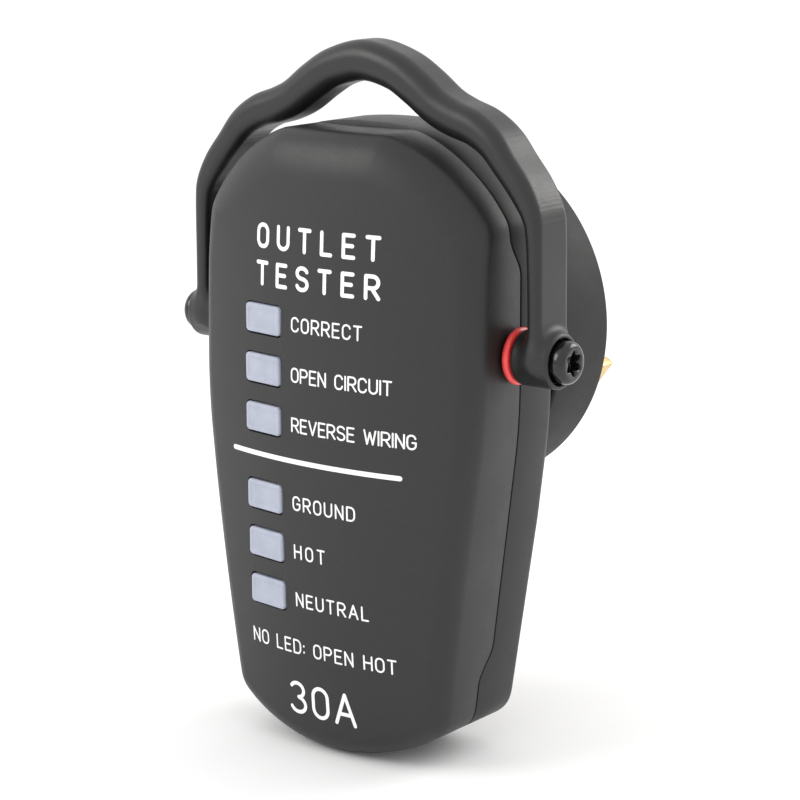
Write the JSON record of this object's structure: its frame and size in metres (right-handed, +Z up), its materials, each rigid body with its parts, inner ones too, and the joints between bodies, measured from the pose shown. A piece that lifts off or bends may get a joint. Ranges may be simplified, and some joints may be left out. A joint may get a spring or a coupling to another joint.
{
  "type": "outlet tester plug",
  "caption": "Hand-held outlet tester: tapered crowned case with lamp windows, round three-contact plug behind and a swinging bail handle held by screws and red friction rings.",
  "frame": {"origin": "centre of the flat plug face that meets the outlet", "axes": "+Y out of the plug face into the outlet, -Y the front of the case, +Z up towards the handle, +X to the right seen from the front"},
  "size_m": [0.0966, 0.079, 0.1419],
  "materials": {
    "case_black": "fine matt texture",
    "handle_black": "satin",
    "plug_black": "matt moulded",
    "ring_red": "smooth, slightly glossy",
    "lens_white": "milky, slightly glossy",
    "brass": "drawn and slightly tarnished",
    "insert_brass": "turned",
    "screw_black": "glossy black",
    "screw_steel": "zinc plated",
    "board_green": "solder mask",
    "frame_white": "matt",
    "lamp_clear": "clear resin",
    "resistor_blue": "lacquered",
    "capacitor_yellow": "smooth",
    "surge_disc_blue": "dipped",
    "terminal_tin": "tinned",
    "wire_green": "insulation",
    "wire_black": "insulation",
    "wire_white": "insulation"
  },
  "bodies": {
    "case": {"barrel_screw_1": "screw_steel", "barrel_screw_2": "screw_steel", "barrel_screw_3": "screw_steel", "board_screw_1": "screw_steel", "board_screw_2": "screw_steel", "capacitor": "capacitor_yellow", "case_screw_1": "screw_steel", "case_screw_2": "screw_steel", "case_screw_3": "screw_steel", "case_screw_4": "screw_steel", "circuit_board": "board_green", "friction_ring_left": "ring_red", "friction_ring_right": "ring_red", "front_shell": "case_black", "ground_pin": "brass", "handle_screw_left": "screw_black", "handle_screw_right": "screw_black", "hot_blade": "brass", "lamp_correct": "lamp_clear", "lamp_frame": "frame_white", "lamp_ground": "lamp_clear", "lamp_hot": "lamp_clear", "lamp_neutral": "lamp_clear", "lamp_open_circuit": "lamp_clear", "lamp_reverse_wiring": "lamp_clear", "lens_correct": "lens_white", "lens_ground": "lens_white", "lens_hot": "lens_white", "lens_neutral": "lens_white", "lens_open_circuit": "lens_white", "lens_reverse_wiring": "lens_white", "neutral_blade": "brass", "pivot_insert_left": "insert_brass", "pivot_insert_right": "insert_brass", "plug_barrel": "plug_black", "plug_plate": "plug_black", "plug_screw_1": "screw_steel", "plug_screw_2": "screw_steel", "plug_screw_3": "screw_steel", "rear_shell": "case_black", "resistor_1": "resistor_blue", "resistor_2": "resistor_blue", "surge_disc": "surge_disc_blue", "terminal_ground": "terminal_tin", "terminal_hot": "terminal_tin", "terminal_neutral": "terminal_tin", "wire_ground": "wire_green", "wire_hot": "wire_black", "wire_neutral": "wire_white"},
    "handle": {"handle": "handle_black"}
  },
  "joints": [
    {"name": "handle_hinge", "type": "hinge", "parent": "case", "child": "handle", "pos_m": [0, -0.0307, -0.0007], "axis": [1, 0, 0], "range_deg": [-30, 145]}
  ]
}
